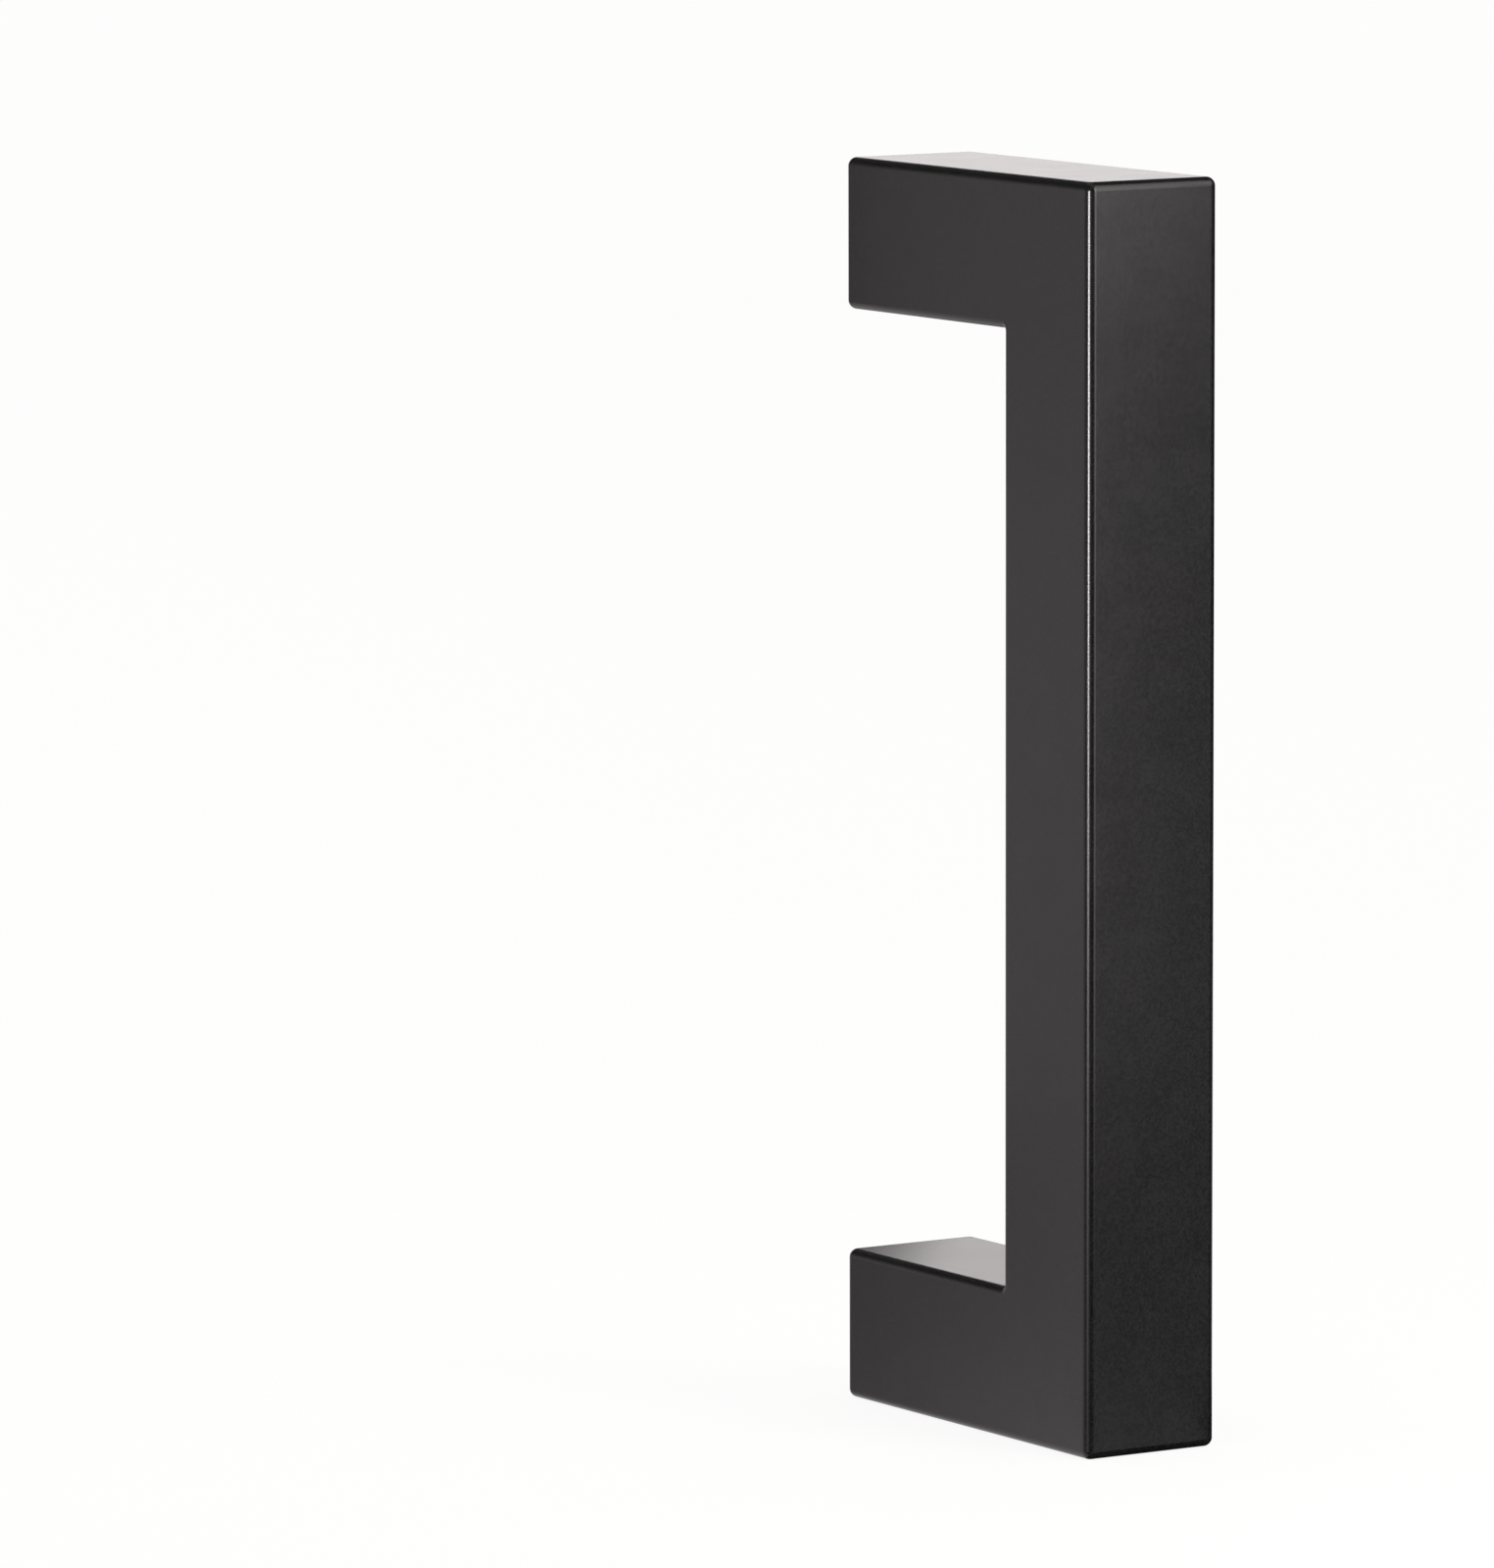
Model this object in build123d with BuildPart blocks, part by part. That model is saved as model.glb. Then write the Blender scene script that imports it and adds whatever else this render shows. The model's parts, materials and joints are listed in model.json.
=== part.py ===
"""Square bar door pull: one bar in the form of a U, with a tapped blind hole in each foot.

Millimetres, +Z up. The door's face is the plane Y = 0, and the pull stands out from it towards -Y.
The origin lies on that face, midway between the two fixing holes. X runs across the bar.
"""

from build123d import *

import os
from math import radians, tan

# Bar
bar_width = 25.4  # across the front, along X
bar_thickness = 25.4  # of the grip and of both legs, in the plane of the U
edge_radius = 1.5  # on every outer edge
inner_corner_radius = 0.4  # where the grip turns into a leg

# Reach
hole_spacing = 184.2  # from one fixing hole to the other, along Z
projection = 73.0  # from the door's face to the front of the grip

# Fixing holes, tapped for an 8 mm screw with a coarse thread
thread_diameter = 8.0
thread_pitch = 1.25
mouth_relief = 0.4  # by which the chamfered mouth is wider than the thread
mouth_angle = 120.0  # full angle of the chamfer
hole_depth = 24.0  # at full diameter, from the foot's face
drill_point_angle = 118.0  # full angle of the hole's conical end

# Sizes that follow from those above
overall_height = hole_spacing + bar_thickness
grip_back = bar_thickness - projection  # Y of the grip's face towards the door
leg_gap = hole_spacing - bar_thickness  # clear height between the legs
drill_radius = (thread_diameter - thread_pitch) / 2
mouth_radius = (thread_diameter + mouth_relief) / 2
mouth_depth = (mouth_radius - drill_radius) / tan(radians(mouth_angle / 2))
drill_point_depth = drill_radius / tan(radians(drill_point_angle / 2))

os.makedirs("parts", exist_ok=True)

# The pull: the outline of the U, seen from the side, carried across the bar's width
with BuildPart() as pull_bar:
    with BuildSketch(Plane.YZ) as side_outline:
        Rectangle(projection, overall_height, align=(Align.MAX, Align.CENTER))
        Rectangle(-grip_back, leg_gap, align=(Align.MAX, Align.CENTER), mode=Mode.SUBTRACT)
        inner_corners = side_outline.vertices().group_by(Axis.X)[1]
        fillet(inner_corners, inner_corner_radius)
    extrude(amount=bar_width / 2, both=True)

    # Every outer edge is rounded: round both sides, across the front corners and round the feet
    edges_by_width = pull_bar.edges().filter_by(Plane.YZ).group_by(Axis.X)
    crosswise_edges = pull_bar.edges().filter_by(Axis.X).group_by(Axis.Y)
    outer_edges = edges_by_width[0] + edges_by_width[-1] + crosswise_edges[0] + crosswise_edges[-1]
    fillet(outer_edges, edge_radius)

    # A tapped hole in the middle of each foot: chamfered mouth, drilled wall and conical end
    for hole_height in (-hole_spacing / 2, hole_spacing / 2):
        with BuildSketch(Plane.XY.offset(hole_height)):
            with BuildLine():
                Polyline(
                    (0, 0),
                    (mouth_radius, 0),
                    (drill_radius, -mouth_depth),
                    (drill_radius, -hole_depth),
                    (0, -hole_depth - drill_point_depth),
                    close=True,
                )
            make_face()
        revolve(axis=Axis((0, 0, hole_height), (0, 1, 0)), mode=Mode.SUBTRACT)

pull_bar.part.label = "pull_bar"
export_step(pull_bar.part, "parts/pull_bar.step")
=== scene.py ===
"""A square bar door pull in satin black, standing on a pale floor in soft studio light.

Metres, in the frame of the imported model: +Z up along the grip, +Y into the door, the door's face at Y = 0.
The pull is one closed surface, from the tip of the lower tapped hole to the tip of the upper one.
"""

import json
from math import cos, pi, radians, sin, tan

import bpy
import numpy as np
from mathutils import Matrix, Vector


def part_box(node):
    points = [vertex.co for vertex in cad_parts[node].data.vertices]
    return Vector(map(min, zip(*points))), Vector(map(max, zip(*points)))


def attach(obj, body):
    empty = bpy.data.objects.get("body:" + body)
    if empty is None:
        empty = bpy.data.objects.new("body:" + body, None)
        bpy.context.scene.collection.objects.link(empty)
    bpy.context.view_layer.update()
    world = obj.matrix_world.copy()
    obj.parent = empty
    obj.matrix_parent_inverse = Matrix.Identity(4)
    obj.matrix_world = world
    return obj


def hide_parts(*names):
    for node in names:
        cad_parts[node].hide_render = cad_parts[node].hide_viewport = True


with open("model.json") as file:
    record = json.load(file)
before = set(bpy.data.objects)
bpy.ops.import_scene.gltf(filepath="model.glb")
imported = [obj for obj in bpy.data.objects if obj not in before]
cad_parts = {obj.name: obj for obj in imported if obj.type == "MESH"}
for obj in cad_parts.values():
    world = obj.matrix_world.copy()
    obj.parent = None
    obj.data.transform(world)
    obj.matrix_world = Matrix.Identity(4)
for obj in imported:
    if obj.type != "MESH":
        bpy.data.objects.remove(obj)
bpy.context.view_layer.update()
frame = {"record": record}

mm = 0.001

# Sizes that the frame gives
mounts = {mount["name"]: mount for mount in frame["record"]["mounts"]}
low_corner, high_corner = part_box("pull_bar")
bar_width = high_corner.x - low_corner.x
projection = high_corner.y - low_corner.y
overall_height = high_corner.z - low_corner.z
hole_spacing = mounts["fixing_pair"]["dims"]["spacing_y_mm"] * mm
tap_radius = mounts["fixing_pair"]["dims"]["hole_r_mm"] * mm
bar_thickness = overall_height - hole_spacing

# Edges of the bar
edge_radius = 1.5 * mm
inner_corner_radius = 0.4 * mm

# Tapped holes
thread_radius = 4.0 * mm
thread_pitch = 1.25 * mm
root_half_flat = 1 / 16  # of the thread, in pitches
crest_start = 3 / 8  # in pitches, from the middle of the root
thread_run_out = 3 * mm  # length over which the thread fades at its inner end
mouth_radius = 4.2 * mm
mouth_angle = 120
hole_depth = 24 * mm
drill_point_angle = 118

# Rows and columns of the surface
face_columns = 12  # across each face of the bar
edge_steps = 10  # round each edge
leg_rows = 10
grip_rows = 28
foot_rows = 4
rows_per_pitch = 12
drill_point_rows = 4
weld_gap = 1e-7  # within which two points are one

# Satin black coat
coat_ior = 1.4
grain_size = 0.4 * mm
grain_detail = 2
grain_height = 0.02 * mm
grain_strength = 0.02
cloud_size = 7 * mm
cloud_detail = 3
cloud_share = 0.2  # of the clouds in the coat's colour, the rest being grain
mottle_low = 0.38  # range of the noise over which the coat's colour and gloss change
mottle_high = 0.62
coat_dark = (0.003, 0.003, 0.0029, 1)
coat_light = (0.01, 0.0098, 0.0097, 1)
coat_roughness_low = 0.254
coat_roughness_high = 0.262

# Bare steel in the holes
stain_size = 1.1 * mm
stain_detail = 4
stain_low = 0.3  # range of the noise over which the steel's colour changes
stain_high = 0.7
steel_dark = (0.3, 0.29, 0.275, 1)
steel_light = (0.46, 0.45, 0.43, 1)
steel_roughness_low = 0.25
steel_roughness_high = 0.5
tool_mark_pitch = 0.16 * mm
tool_mark_height = 0.01 * mm
tool_mark_strength = 0.3
tool_mark_waver = 0.5
wave_phase = 20  # radians to one unit in the wave node

# Camera, from the fit to the bar's edges in the photograph
photo_height = 1600  # pixels, the long side of the frame
focal_length = 12060  # pixels of that frame
sensor_size = 36  # millimetres, on the long side
camera_azimuth = -32.21
camera_elevation = 7.05
camera_roll = -0.13
camera_distance = 1990 * mm
aim_right = -27.28 * mm  # from the frame's origin to the middle of the picture
aim_up = -1.45 * mm
sight_limit = 50

# Floor and lamps, where a brightness of 1 is white in a mirror
floor_reach = 12
floor_colour = (0.85, 0.83, 0.8, 1)
floor_roughness = 0.9
floor_specular = 0.1
floor_glow = 0.9  # share of white in the floor where it is seen or mirrored
white = (1, 1, 1, 1)
lamp_tint = (1, 0.955, 0.955)

# Grey tent and cards, which show only in reflections
black = (0, 0, 0, 1)
card_tint = (1, 0.94, 0.97, 1)
card_steps = 8
hem_gap = 0.1 * mm  # over the floor, and round the tent's middle
lying_height = low_corner.z + 2 * hem_gap  # of a card on the floor
foot_card_shade = 0.1
tent_radius = 2.4
tent_height = 0.9
tent_columns = 120
wall_fade = 0.1  # share of its brightness that the wall keeps at its top
roof_dark = 0.06
roof_dark_radius = 0.45
roof_light = 0.5
roof_light_radius = 0.2
roof_card_reach = 0.35  # of a light card, to each side
tent_shades = {  # brightness at an azimuth, from the left of the door round the front to its right
    -180: 0.84,
    -115: 0.84,
    -100: 0.12,
    -75: 0.12,
    -40: 0.03,
    0: 0.03,
    12: 0.35,
    48: 0.35,
    58: 0.03,
    150: 0.03,
    158: 0.9,
    180: 0.9,
}


def section_loop():
    """The bar's section as a closed loop: for each column, a place on the core and the normal there.

    Both are given across the bar and outwards from the U, as shares of the core's half sizes and as a unit
    vector. The columns run across the outer face, round the edge, down one side, and so on. Columns on a
    face lie at the tangents of equal angles, so that they meet the hole's mouth at equal angles.
    """
    flat = np.tan(np.radians(np.linspace(-45, 45, face_columns, endpoint=False)))
    turn = np.radians(np.linspace(0, 90, edge_steps, endpoint=False))
    across = np.concatenate([flat, np.ones(edge_steps)])
    outwards = np.ones(face_columns + edge_steps)
    normal_across = np.concatenate([np.zeros(face_columns), np.sin(turn)])
    normal_outwards = np.concatenate([np.ones(face_columns), np.cos(turn)])
    core = np.stack([across, outwards], axis=1)
    normal = np.stack([normal_across, normal_outwards], axis=1)
    quarter_turn = np.array([[0, -1], [1, 0]])
    turns = [np.linalg.matrix_power(quarter_turn, quarter) for quarter in range(4)]
    core = np.concatenate([core @ matrix for matrix in turns])
    normal = np.concatenate([normal @ matrix for matrix in turns])
    return core, normal


def bar_surface(core, normal):
    """The bar, from the lower foot's flat to the upper one's, as rows of section loops, with its normals.

    The core is the bar less the edge radius all round. Its outer line is a U with sharp corners, and its
    inner line a U whose corners have the inner corner's radius plus the edge radius. Each point is a place
    on the core plus the edge radius times the normal. The normal turns with the U's corners, and at the feet
    it tilts from the section's plane to +Y.
    """
    tilt_up = np.linspace(90, 0, edge_steps + 1)
    corner = np.linspace(0, 90, edge_steps + 1)
    leg = np.linspace(0, 1, leg_rows + 1)[1:-1]
    grip = np.linspace(1, 2, grip_rows + 1)[1:-1]
    zero = np.zeros_like
    one = np.ones_like

    # For each row: its place along the U (0 and 3 at the feet, 1 and 2 at the corners), the turn of its
    # outward side from straight down, and its tilt towards the door, both in degrees
    place = np.concatenate(
        [zero(tilt_up), leg, one(corner), grip, 2 * one(corner), leg + 2, 3 * one(tilt_up)]
    )
    heading = np.concatenate(
        [zero(tilt_up), zero(leg), corner, 90 * one(grip), 90 + corner, 180 * one(leg), 180 * one(tilt_up)]
    )
    tilt = np.concatenate(
        [tilt_up, zero(leg), zero(corner), zero(grip), zero(corner), zero(leg), tilt_up[::-1]]
    )

    # Corners of the core's outer and inner lines, as Y and Z, from the lower foot to the upper one
    ends = [0, 1, 2, 3]
    foot_y = -edge_radius
    outer_y = edge_radius - projection
    outer_z = overall_height / 2 - edge_radius
    inner_y = bar_thickness - projection + inner_corner_radius
    inner_z = outer_z + edge_radius - bar_thickness - inner_corner_radius
    outer_line_y = np.interp(place, ends, [foot_y, outer_y, outer_y, foot_y])
    outer_line_z = np.interp(place, ends, [-outer_z, -outer_z, outer_z, outer_z])
    inner_line_y = np.interp(place, ends, [foot_y, inner_y, inner_y, foot_y])
    inner_line_z = np.interp(place, ends, [-inner_z, -inner_z, inner_z, inner_z])
    outwards_y = -np.sin(np.radians(heading))
    outwards_z = -np.cos(np.radians(heading))
    inner_line_y += (inner_corner_radius + edge_radius) * outwards_y
    inner_line_z += (inner_corner_radius + edge_radius) * outwards_z

    outer_share = (1 + core[:, 1]) / 2
    x = (bar_width / 2 - edge_radius) * core[:, 0]
    y = np.outer(inner_line_y, 1 - outer_share) + np.outer(outer_line_y, outer_share)
    z = np.outer(inner_line_z, 1 - outer_share) + np.outer(outer_line_z, outer_share)
    points = np.stack([np.broadcast_to(x, y.shape), y, z], axis=2)

    level = np.cos(np.radians(tilt))
    normals = np.stack(
        [
            np.outer(level, normal[:, 0]),
            np.outer(level * outwards_y, normal[:, 1]) + np.sin(np.radians(tilt))[:, None],
            np.outer(level * outwards_z, normal[:, 1]),
        ],
        axis=2,
    )
    return points + edge_radius * normals, normals


def foot_surface(square, hole_height):
    """A foot's flat: rows that pass evenly from its square boundary to the round mouth of its hole."""
    angle = np.arctan2(square[:, 0], square[:, 2] - hole_height)
    x = mouth_radius * np.sin(angle)
    z = hole_height + mouth_radius * np.cos(angle)
    circle = np.stack([x, np.zeros_like(angle), z], axis=1)
    share = np.linspace(0, 1, foot_rows + 1)[1:, None, None]
    points = (1 - share) * square + share * circle
    normals = np.broadcast_to([0.0, 1.0, 0.0], points.shape)
    return points, normals


def hole_surface(mouth, hole_height):
    """A tapped hole: its radius as a function of depth and angle, down to the tip of the drill's point.

    The radius is the larger of the chamfer's cone and of the thread. The thread is a ridge between the tap's
    radius and the screw's, with flats and straight flanks. Its depth is measured along a right-hand helix
    that falls by one pitch each turn, and it fades out at the inner end. Below the thread the radius falls
    in a straight line to nothing.
    """
    angle = np.arctan2(mouth[:, 0], mouth[:, 2] - hole_height)
    rows = int(round(hole_depth / thread_pitch * rows_per_pitch))
    depth = np.linspace(0, hole_depth, rows + 1)[1:, None]
    chamfer = mouth_radius - depth * tan(radians(mouth_angle / 2))
    turns = depth / thread_pitch + angle / (2 * np.pi)
    from_root = np.abs(turns - np.round(turns))
    cut = np.clip((crest_start - from_root) / (crest_start - root_half_flat), 0, 1)
    kept = np.clip((hole_depth - thread_run_out - depth) / thread_run_out, 0, 1)
    thread = tap_radius + (thread_radius - tap_radius) * cut * kept
    radius = np.maximum(chamfer, thread)

    point_share = np.linspace(0, 1, drill_point_rows + 1)[1:, None]
    point_depth = tap_radius / tan(radians(drill_point_angle / 2))
    radius = np.concatenate([radius, tap_radius * (1 - point_share) * np.ones_like(angle)])
    depth = np.concatenate([depth, hole_depth + point_depth * point_share])
    x = radius * np.sin(angle)
    y = -depth * np.ones_like(angle)
    z = hole_height + radius * np.cos(angle)
    points = np.stack([x, y, z], axis=2)
    return points, np.zeros_like(points)


def closed_mesh(name, points, normals, row_material):
    """A mesh from rows of closed loops: the quads between them, with points that coincide made one.

    A quad that has lost a corner this way becomes a triangle, and one that has lost two is left out. A normal
    of zero length leaves the mesh's own normal there.
    """
    rows, columns = points.shape[:2]
    index = np.arange(rows * columns).reshape(rows, columns)
    beside = np.roll(index, -1, axis=1)
    quads = np.stack([index[:-1], beside[:-1], beside[1:], index[1:]], axis=2).reshape(-1, 4)
    material = np.repeat(row_material, columns)

    flat_points = points.reshape(-1, 3)
    keys = np.round(flat_points / weld_gap).astype(np.int64)
    _, first, welded = np.unique(keys, axis=0, return_index=True, return_inverse=True)
    quads = welded.reshape(-1)[quads]
    lost = quads == np.roll(quads, -1, axis=1)
    whole = ~lost.any(axis=1)
    three = lost.sum(axis=1) == 1
    triangles = quads[three][~lost[three]].reshape(-1, 3)
    faces = quads[whole].tolist() + triangles.tolist()

    mesh = bpy.data.meshes.new(name)
    mesh.from_pydata(flat_points[first], [], faces, shade_flat=False)
    mesh.polygons.foreach_set("material_index", np.concatenate([material[whole], material[three]]))
    mesh.update()
    mesh.normals_split_custom_set_from_vertices(normals.reshape(-1, 3)[first])
    return mesh


def make_pull():
    """The whole pull as one grid: lower hole, lower foot, bar, upper foot and upper hole, row after row."""
    core, normal = section_loop()
    bar, bar_normals = bar_surface(core, normal)
    lower_foot, lower_foot_normals = foot_surface(bar[0], -hole_spacing / 2)
    upper_foot, upper_foot_normals = foot_surface(bar[-1], hole_spacing / 2)
    lower_hole, lower_hole_normals = hole_surface(lower_foot[-1], -hole_spacing / 2)
    upper_hole, upper_hole_normals = hole_surface(upper_foot[-1], hole_spacing / 2)
    points = np.concatenate([lower_hole[::-1], lower_foot[::-1], bar, upper_foot, upper_hole])
    normals = np.concatenate(
        [
            lower_hole_normals[::-1],
            lower_foot_normals[::-1],
            bar_normals,
            upper_foot_normals,
            upper_hole_normals,
        ]
    )
    coat_index = 0
    steel_index = 1
    row_material = np.full(len(points) - 1, coat_index, dtype=np.int32)
    row_material[: len(lower_hole)] = steel_index
    row_material[-len(upper_hole):] = steel_index
    mesh = closed_mesh("coated_pull", points, normals, row_material)
    pull = bpy.data.objects.new("coated_pull", mesh)
    bpy.context.scene.collection.objects.link(pull)
    mesh.materials.append(black_coat())
    mesh.materials.append(bare_thread())
    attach(pull, "root")
    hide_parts("pull_bar")


def new_material(name):
    """A material with only its shader, and the links to add nodes with."""
    material = bpy.data.materials.new(name)
    material.use_nodes = True
    nodes = material.node_tree.nodes
    return material, nodes, material.node_tree.links, nodes["Principled BSDF"]


def noise(nodes, links, feature_size, detail):
    """A noise on Object coordinates, with features of about the given size."""
    place = nodes.new("ShaderNodeTexCoord")
    texture = nodes.new("ShaderNodeTexNoise")
    texture.inputs["Scale"].default_value = 1 / feature_size
    texture.inputs["Detail"].default_value = detail
    links.new(place.outputs["Object"], texture.inputs["Vector"])
    return texture.outputs["Fac"]


def colour_between(nodes, links, value, low, high, dark, light):
    """A colour that passes evenly from dark to light while a value passes from low to high."""
    ramp = nodes.new("ShaderNodeValToRGB")
    ramp.color_ramp.elements[0].position = low
    ramp.color_ramp.elements[0].color = dark
    ramp.color_ramp.elements[1].position = high
    ramp.color_ramp.elements[1].color = light
    links.new(value, ramp.inputs["Fac"])
    return ramp.outputs["Color"]


def number_between(nodes, links, value, low, high, at_low, at_high):
    """A number that passes evenly from one end to the other while a value passes from low to high."""
    span = nodes.new("ShaderNodeMapRange")
    span.inputs["From Min"].default_value = low
    span.inputs["From Max"].default_value = high
    span.inputs["To Min"].default_value = at_low
    span.inputs["To Max"].default_value = at_high
    links.new(value, span.inputs["Value"])
    return span.outputs["Result"]


def raised_normal(nodes, links, value, height, strength):
    """The normal of a surface that a value raises, by the given height where it is 1."""
    bump = nodes.new("ShaderNodeBump")
    bump.inputs["Strength"].default_value = strength
    bump.inputs["Distance"].default_value = height
    links.new(value, bump.inputs["Height"])
    return bump.outputs["Normal"]


def black_coat():
    """Satin black powder coat: grain in its colour and height, and slow clouds in its colour and gloss."""
    material, nodes, links, shader = new_material("black_coat")
    shader.inputs["IOR"].default_value = coat_ior
    grain = noise(nodes, links, grain_size, grain_detail)
    clouds = noise(nodes, links, cloud_size, cloud_detail)
    mottle = nodes.new("ShaderNodeMix")
    mottle.inputs["Factor"].default_value = cloud_share
    links.new(grain, mottle.inputs["A"])
    links.new(clouds, mottle.inputs["B"])
    mixed = mottle.outputs["Result"]

    colour = colour_between(nodes, links, mixed, mottle_low, mottle_high, coat_dark, coat_light)
    roughness = number_between(
        nodes, links, clouds, mottle_low, mottle_high, coat_roughness_low, coat_roughness_high
    )
    links.new(colour, shader.inputs["Base Color"])
    links.new(roughness, shader.inputs["Roughness"])
    links.new(raised_normal(nodes, links, grain, grain_height, grain_strength), shader.inputs["Normal"])
    return material


def bare_thread():
    """Bare cut steel, with a little stain in its colour and gloss, and fine tool marks in its height."""
    material, nodes, links, shader = new_material("bare_thread")
    shader.inputs["Metallic"].default_value = 1
    stain = noise(nodes, links, stain_size, stain_detail)
    colour = colour_between(nodes, links, stain, stain_low, stain_high, steel_dark, steel_light)
    roughness = number_between(nodes, links, stain, 0, 1, steel_roughness_low, steel_roughness_high)
    links.new(colour, shader.inputs["Base Color"])
    links.new(roughness, shader.inputs["Roughness"])

    place = nodes.new("ShaderNodeTexCoord")
    rings = nodes.new("ShaderNodeTexWave")
    rings.bands_direction = "Y"
    rings.inputs["Scale"].default_value = 2 * pi / wave_phase / tool_mark_pitch
    rings.inputs["Distortion"].default_value = tool_mark_waver
    links.new(place.outputs["Object"], rings.inputs["Vector"])
    normal = raised_normal(nodes, links, rings.outputs["Fac"], tool_mark_height, tool_mark_strength)
    links.new(normal, shader.inputs["Normal"])
    return material


def make_camera():
    """The camera of the photograph: azimuth round the pull, elevation, and a roll about its line of sight."""
    azimuth = radians(camera_azimuth)
    elevation = radians(camera_elevation)
    roll = radians(camera_roll)
    back = Vector((sin(azimuth) * cos(elevation), -cos(azimuth) * cos(elevation), sin(elevation)))
    level = Vector((0, 0, 1)).cross(back).normalized()
    upright = back.cross(level)
    right = level * cos(roll) + upright * sin(roll)
    up = upright * cos(roll) - level * sin(roll)
    data = bpy.data.cameras.new("photo_camera")
    data.sensor_width = sensor_size
    data.lens = focal_length * sensor_size / photo_height
    data.clip_end = sight_limit
    camera = bpy.data.objects.new("photo_camera", data)
    place = right * aim_right + up * aim_up + back * camera_distance
    camera.matrix_world = Matrix.Translation(place) @ Matrix((right, up, back)).transposed().to_4x4()
    bpy.context.scene.collection.objects.link(camera)
    bpy.context.scene.camera = camera


def seen_or_mirrored(nodes, links):
    """A socket that is 1 on rays from the camera, in reflections and through glass, and 0 on other rays."""
    path = nodes.new("ShaderNodeLightPath")
    total = path.outputs["Is Camera Ray"]
    for kind in ("Is Glossy Ray", "Is Transmission Ray"):
        larger = nodes.new("ShaderNodeMath")
        larger.operation = "MAXIMUM"
        links.new(total, larger.inputs[0])
        links.new(path.outputs[kind], larger.inputs[1])
        total = larger.outputs[0]
    return total


def make_world():
    """A plain white all round, which gives an even fill."""
    world = bpy.data.worlds.new("studio")
    world.use_nodes = True
    background = world.node_tree.nodes["Background"]
    background.inputs["Color"].default_value = white
    background.inputs["Strength"].default_value = 1
    bpy.context.scene.world = world


def make_floor():
    """A wide pale floor under the pull. Where it is seen or mirrored it glows part of the way to white."""
    corners = [
        (-floor_reach, -floor_reach),
        (floor_reach, -floor_reach),
        (floor_reach, floor_reach),
        (-floor_reach, floor_reach),
    ]
    mesh = bpy.data.meshes.new("floor")
    mesh.from_pydata([(x, y, low_corner.z) for x, y in corners], [], [(0, 1, 2, 3)])
    floor = bpy.data.objects.new("floor", mesh)
    bpy.context.scene.collection.objects.link(floor)
    material, nodes, links, shader = new_material("pale_floor")
    shader.inputs["Base Color"].default_value = floor_colour
    shader.inputs["Roughness"].default_value = floor_roughness
    shader.inputs["Specular IOR Level"].default_value = floor_specular
    glow = nodes.new("ShaderNodeEmission")
    glow.inputs["Strength"].default_value = 1
    mix = nodes.new("ShaderNodeMixShader")
    share = nodes.new("ShaderNodeMath")
    share.operation = "MULTIPLY"
    share.inputs[1].default_value = floor_glow
    links.new(seen_or_mirrored(nodes, links), share.inputs[0])
    links.new(share.outputs[0], mix.inputs["Fac"])
    links.new(shader.outputs["BSDF"], mix.inputs[1])
    links.new(glow.outputs["Emission"], mix.inputs[2])
    links.new(mix.outputs["Shader"], nodes["Material Output"].inputs["Surface"])
    mesh.materials.append(material)


def softbox(name, azimuth, distance, width, bottom, top, brightness, fills=True):
    """An upright soft lamp that faces the pull, at an azimuth and a distance, between two heights.

    Its brightness is how it looks in a mirror, where 1 is white, so its power is that times pi times its
    area. One that doesn't fill shows only as a glint in the coat.
    """
    angle = radians(azimuth)
    back = Vector((sin(angle), -cos(angle), 0))
    data = bpy.data.lights.new(name, "AREA")
    data.shape = "RECTANGLE"
    data.size = width
    data.size_y = top - bottom
    data.energy = brightness * pi * data.size * data.size_y
    data.color = lamp_tint
    lamp = bpy.data.objects.new(name, data)
    lamp.location = back * distance + Vector((0, 0, (bottom + top) / 2))
    lamp.rotation_mode = "QUATERNION"
    lamp.rotation_quaternion = (-back).to_track_quat("-Z", "Y")
    lamp.visible_camera = False
    lamp.visible_diffuse = fills
    bpy.context.scene.collection.objects.link(lamp)


def card(name, points, shade):
    """A grey card that shows only in reflections, and neither lights the pull nor shades it.

    It is a grid of points with a brightness at each, which runs evenly between them.
    """
    index = np.arange(shade.size).reshape(shade.shape)
    quads = np.stack([index[:-1, :-1], index[:-1, 1:], index[1:, 1:], index[1:, :-1]], axis=2)
    mesh = bpy.data.meshes.new(name)
    mesh.from_pydata(points.reshape(-1, 3), [], quads.reshape(-1, 4).tolist())
    mesh.attributes.new("brightness", "FLOAT", "POINT").data.foreach_set("value", shade.ravel())
    board = bpy.data.objects.new(name, mesh)
    bpy.context.scene.collection.objects.link(board)
    material, nodes, links, shader = new_material(name)
    shader.inputs["Base Color"].default_value = black
    shader.inputs["Specular IOR Level"].default_value = 0
    shader.inputs["Emission Color"].default_value = card_tint
    level = nodes.new("ShaderNodeAttribute")
    level.attribute_name = "brightness"
    links.new(level.outputs["Fac"], shader.inputs["Emission Strength"])
    mesh.materials.append(material)
    board.visible_camera = False
    board.visible_diffuse = False
    board.visible_transmission = False
    board.visible_shadow = False


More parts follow.
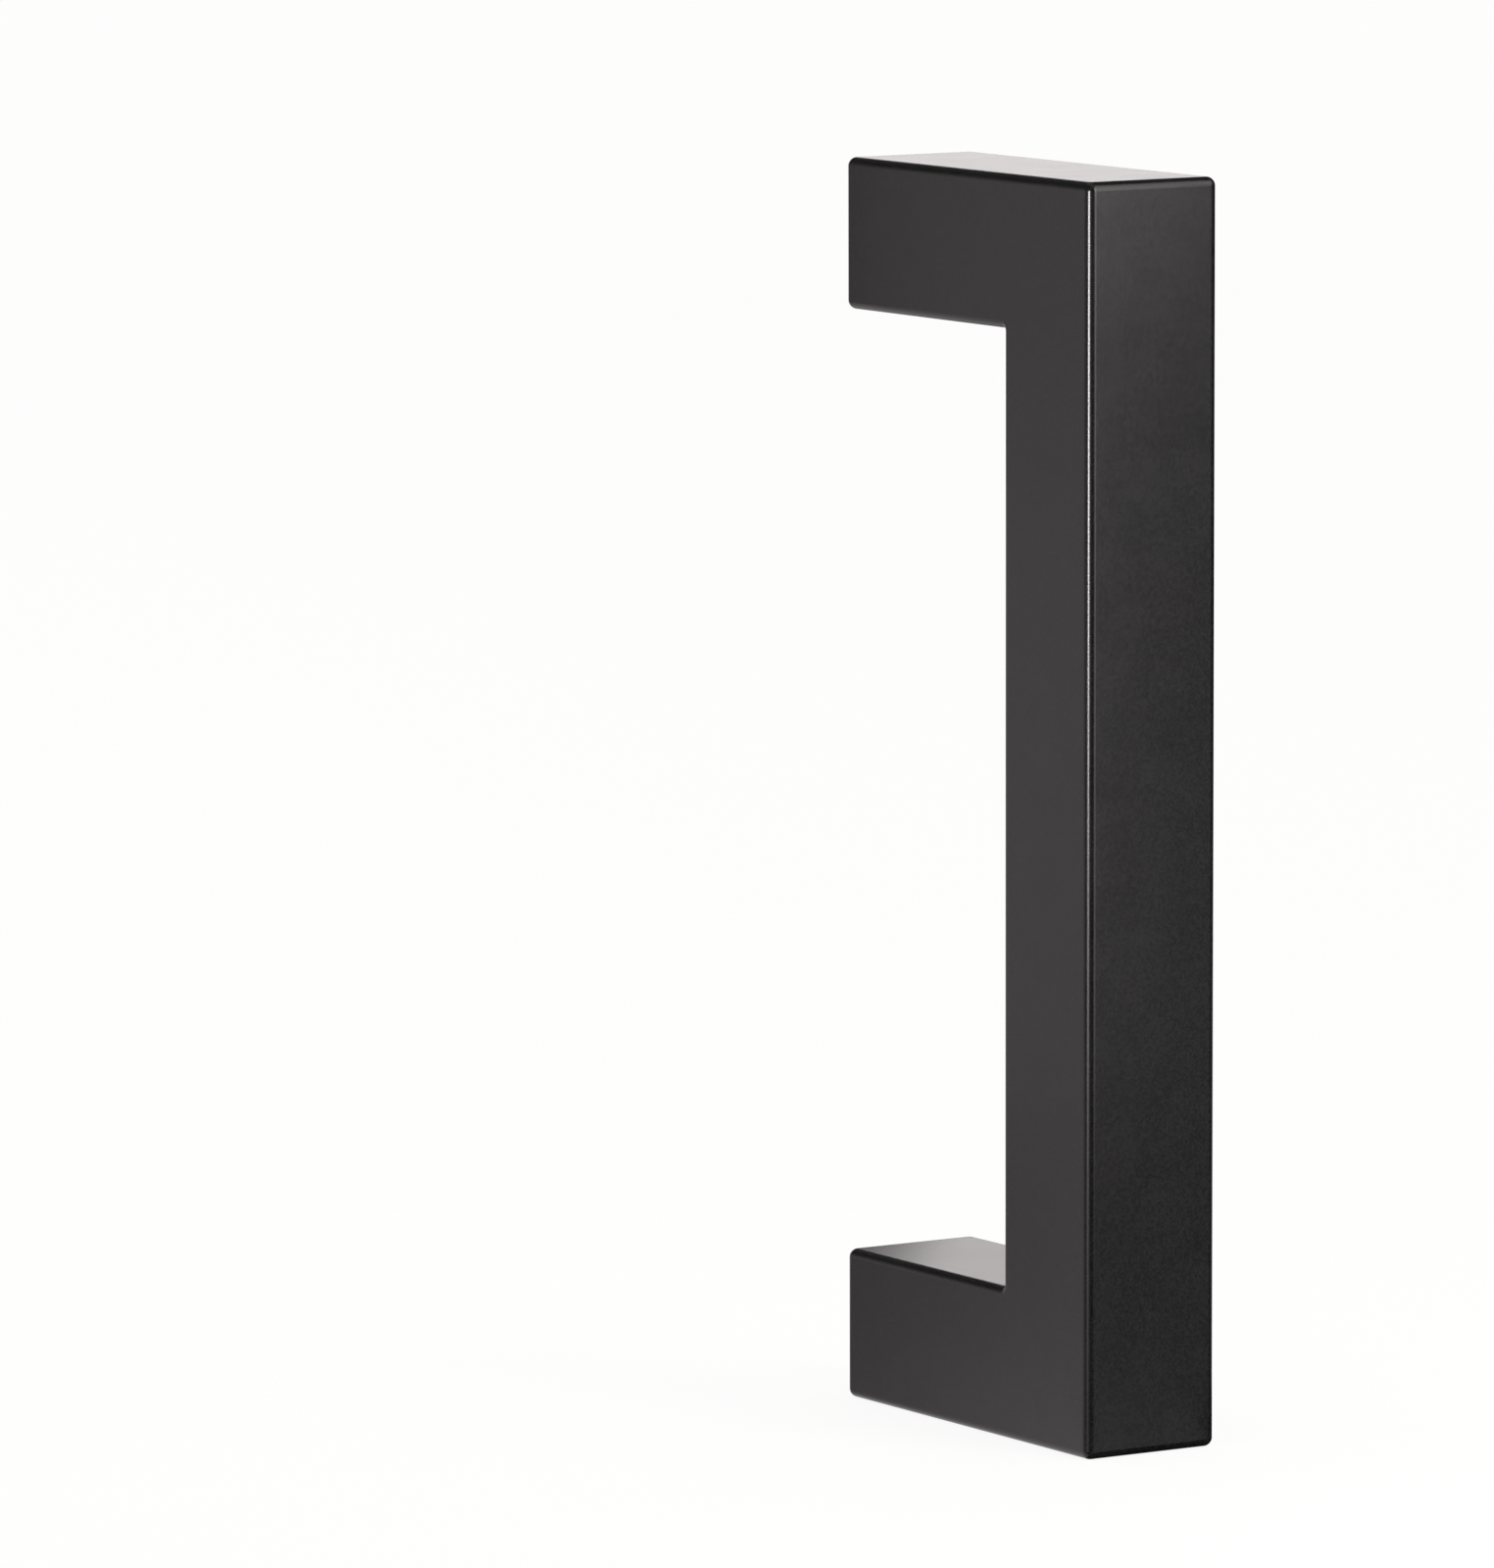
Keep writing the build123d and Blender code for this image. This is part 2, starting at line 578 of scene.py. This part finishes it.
def grey_tent():
    """A grey tent over the pull: circles about the foot of its front's left edge, out, up and in again.

    On the floor and the wall its brightness depends on the azimuth, and it fades up the wall. The roof is
    dark, with a light middle.
    """
    azimuth = np.linspace(-180, 180, tent_columns + 1)
    angle = np.radians(azimuth)
    hem = low_corner.z + hem_gap
    rows = [  # radius, height, share of the azimuth's brightness, brightness added to it
        (hem_gap, hem, 1, 0),
        (tent_radius, hem, 1, 0),
        (tent_radius, tent_height, wall_fade, 0),
        (roof_dark_radius, tent_height, 0, roof_dark),
        (roof_light_radius, tent_height, 0, roof_light),
        (hem_gap, tent_height, 0, roof_light),
    ]
    radius, height, share, added = np.array(rows).T[:, :, None]
    x = low_corner.x + radius * np.sin(angle)
    y = low_corner.y - radius * np.cos(angle)
    points = np.stack([x, y, height * np.ones_like(angle)], axis=2)
    shade = share * np.interp(azimuth, list(tent_shades), list(tent_shades.values())) + added
    card("grey_tent", points, shade)


def four_corner_card(name, corners, shades):
    """A card whose points and brightness are the means of its four corners', weighted by nearness."""
    step = np.linspace(0, 1, card_steps + 1)
    across, along = np.meshgrid(step, step)
    weights = [(1 - across) * (1 - along), across * (1 - along), across * along, (1 - across) * along]
    weights = np.stack(weights, axis=2)
    card(name, weights @ np.array(corners), weights @ np.array(shades))


def lying_card(name, first_end, last_end, reach, shades):
    """A card on the floor: the line between two ends, carried along a reach."""
    outline = [first_end, first_end + reach, last_end + reach, last_end]
    four_corner_card(name, [(x, y, lying_height) for x, y in outline], shades)


def foot_cards():
    """Three cards behind the feet, which darken the legs towards the door, and one before the front's foot.

    One stands behind the upper leg's side, one with a sloping top behind the lower leg's top, and one lies
    where the lower leg's side mirrors the floor: along the mirrored sight line, from beyond the bar's foot to
    its front. The last lies where the foot of the front mirrors the floor, and lightens it.
    """
    left = -0.085
    right = -0.035
    behind = 0.12
    bottom = 0.035
    top = 0.12
    upright = [(left, bottom), (right, bottom), (right, top), (left, top)]
    four_corner_card("upper_leg_card", [(x, behind, z) for x, z in upright], [foot_card_shade] * 4)

    near = (0.111, 0.107)
    far = (0.037, 0.154)
    near_top = low_corner.z + 0.001
    far_top = low_corner.z + 0.135
    sloping = [(*near, low_corner.z), (*far, low_corner.z), (*far, far_top), (*near, near_top)]
    four_corner_card("leg_top_card", sloping, [foot_card_shade] * 4)

    beyond_door = 0.05
    door_end = Vector((low_corner.x, beyond_door))
    front_end = Vector((low_corner.x, low_corner.y))
    side_reach = Vector((-0.16, 0.254))
    shades = [0.3, 0, 0.6, 1.05]  # at the door's end, out from it, out from the front's end, and at it
    lying_card("lower_leg_card", door_end, front_end, side_reach, shades)

    front_gap = 2.5 * mm
    left_end = Vector((low_corner.x, low_corner.y - front_gap))
    right_end = Vector((high_corner.x, low_corner.y - front_gap))
    front_reach = Vector((0.08, -0.127))
    shades = [0.65, 0.33, 0.33, 0.65]  # in the same order, from the left
    lying_card("front_foot_card", left_end, right_end, front_reach, shades)


def far_side_cards():
    """Three light cards for the sides that the photograph doesn't show.

    Two hang under the roof, before and behind the pull, where its top mirrors them when seen from above. One
    lies on the floor at the right, where the right side mirrors it.
    """
    hung_height = tent_height - hem_gap
    reach = roof_card_reach
    for name, near, far in (("front_roof_card", -0.25, -0.9), ("back_roof_card", 0.15, 0.8)):
        outline = [(-reach, near), (reach, near), (reach, far), (-reach, far)]
        four_corner_card(name, [(x, y, hung_height) for x, y in outline], [roof_light] * 4)

    near_x = 0.06
    far_x = 0.6
    front_y = -0.06
    near_back_y = 0.1
    far_back_y = 0.45
    near_shade = 0.9
    far_shade = 0.6
    outline = [(near_x, front_y), (far_x, front_y), (far_x, far_back_y), (near_x, near_back_y)]
    shades = [near_shade, far_shade, far_shade, near_shade]
    four_corner_card("right_floor_card", [(x, y, lying_height) for x, y in outline], shades)


def make_softboxes():
    """Five soft lamps: one lights the pull from the front, and four are glints on its front, edge and top."""
    softbox("key_softbox", azimuth=17, distance=0.46, width=0.18, bottom=0.09, top=0.42, brightness=8.5)
    glints = {  # azimuth, distance, width, bottom, top, brightness
        "low_softbox": (13, 0.3, 0.08, -0.08, 0.12, 2.9),
        "upper_softbox": (42, 0.46, 0.25, 0.25, 0.7, 2.6),
        "edge_softbox": (-59, 0.7, 0.06, -0.05, 0.13, 170),
        "back_softbox": (150, 1.6, 1.2, 0.1, 0.6, 1.95),
    }
    for name, values in glints.items():
        softbox(name, *values, fills=False)


make_pull()
make_floor()
make_world()
grey_tent()
foot_cards()
far_side_cards()
make_softboxes()
make_camera()
bpy.context.scene.view_settings.view_transform = "Standard"
